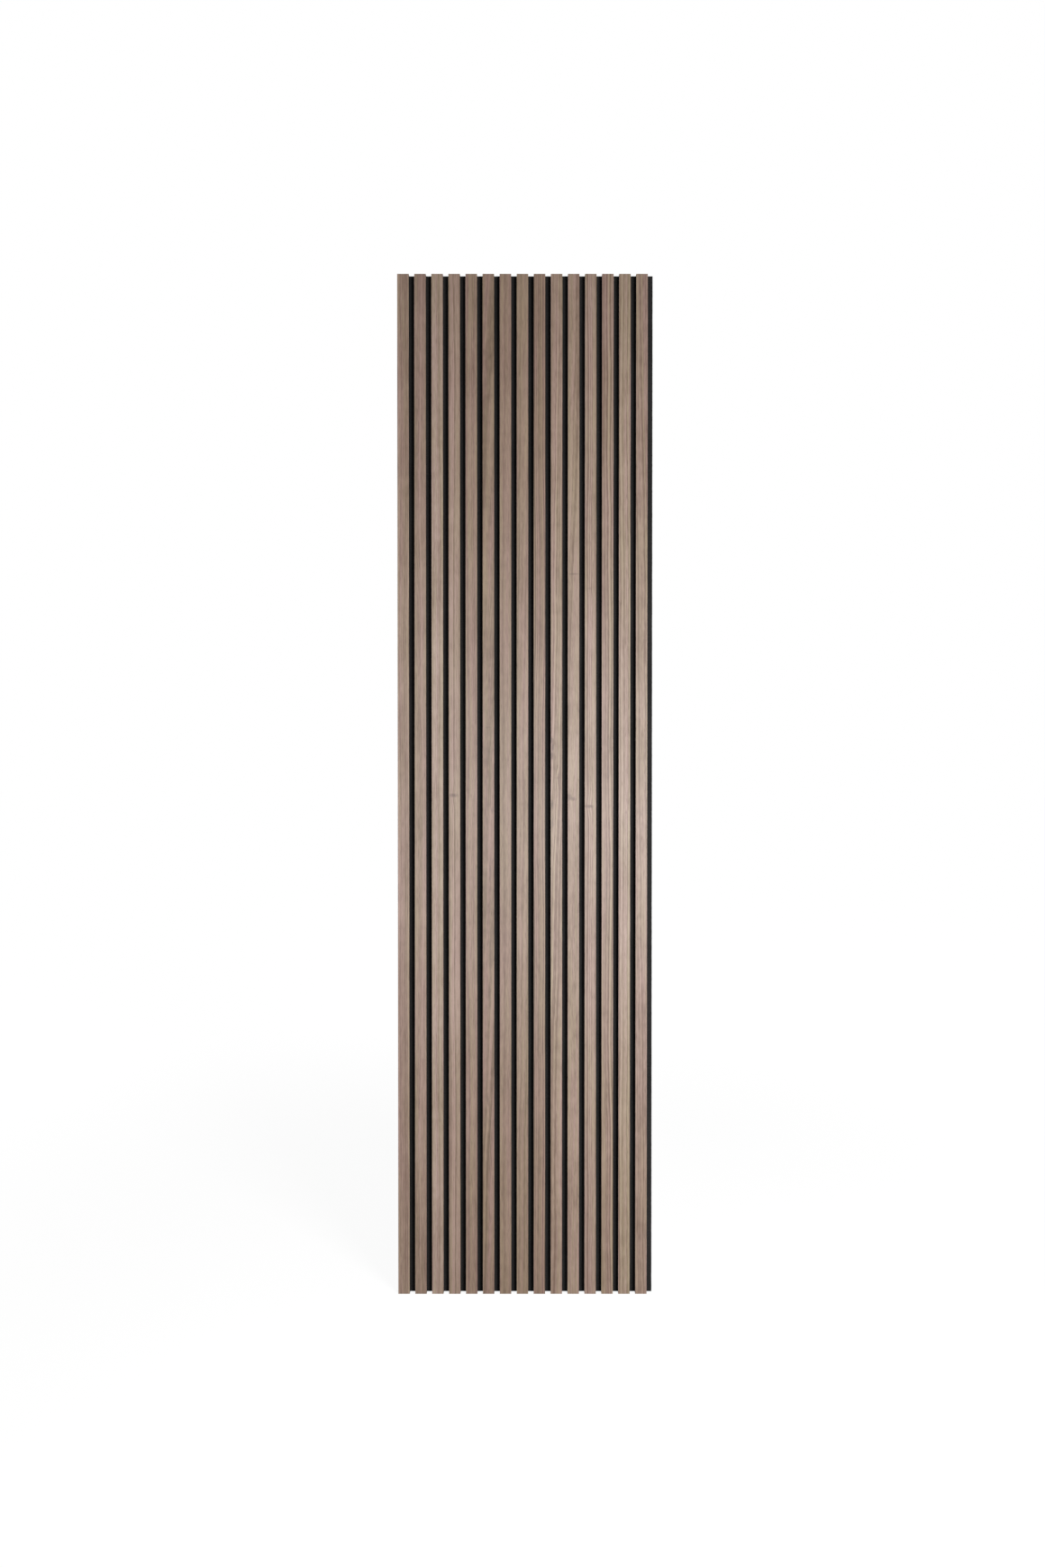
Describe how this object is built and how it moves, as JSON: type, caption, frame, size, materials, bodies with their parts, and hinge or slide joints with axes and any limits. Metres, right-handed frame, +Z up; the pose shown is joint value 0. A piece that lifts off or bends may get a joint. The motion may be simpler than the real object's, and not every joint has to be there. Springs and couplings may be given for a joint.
{
  "type": "acoustic slat wall panel",
  "caption": "Upright sound-absorbing wall panel: evenly spaced walnut-veneered slats stapled to a dark felt board that stands out by one gap along its right edge.",
  "frame": {"origin": "centre of the felt board's back face, which lies on the wall", "axes": "+Z up along the slats, +Y into the wall so that the slats face -Y, +X to the panel's right seen from the room"},
  "size_m": [0.6, 0.021, 2.4],
  "materials": {
    "felt": "matt",
    "core_board": "matt",
    "walnut_veneer": "satin",
    "staple_wire": "satin"
  },
  "bodies": {
    "root": {"felt_backing": "felt", "slat_core_01": "core_board", "slat_core_02": "core_board", "slat_core_03": "core_board", "slat_core_04": "core_board", "slat_core_05": "core_board", "slat_core_06": "core_board", "slat_core_07": "core_board", "slat_core_08": "core_board", "slat_core_09": "core_board", "slat_core_10": "core_board", "slat_core_11": "core_board", "slat_core_12": "core_board", "slat_core_13": "core_board", "slat_core_14": "core_board", "slat_core_15": "core_board", "slat_veneer_01": "walnut_veneer", "slat_veneer_02": "walnut_veneer", "slat_veneer_03": "walnut_veneer", "slat_veneer_04": "walnut_veneer", "slat_veneer_05": "walnut_veneer", "slat_veneer_06": "walnut_veneer", "slat_veneer_07": "walnut_veneer", "slat_veneer_08": "walnut_veneer", "slat_veneer_09": "walnut_veneer", "slat_veneer_10": "walnut_veneer", "slat_veneer_11": "walnut_veneer", "slat_veneer_12": "walnut_veneer", "slat_veneer_13": "walnut_veneer", "slat_veneer_14": "walnut_veneer", "slat_veneer_15": "walnut_veneer", "staples": "staple_wire"}
  },
  "joints": []
}
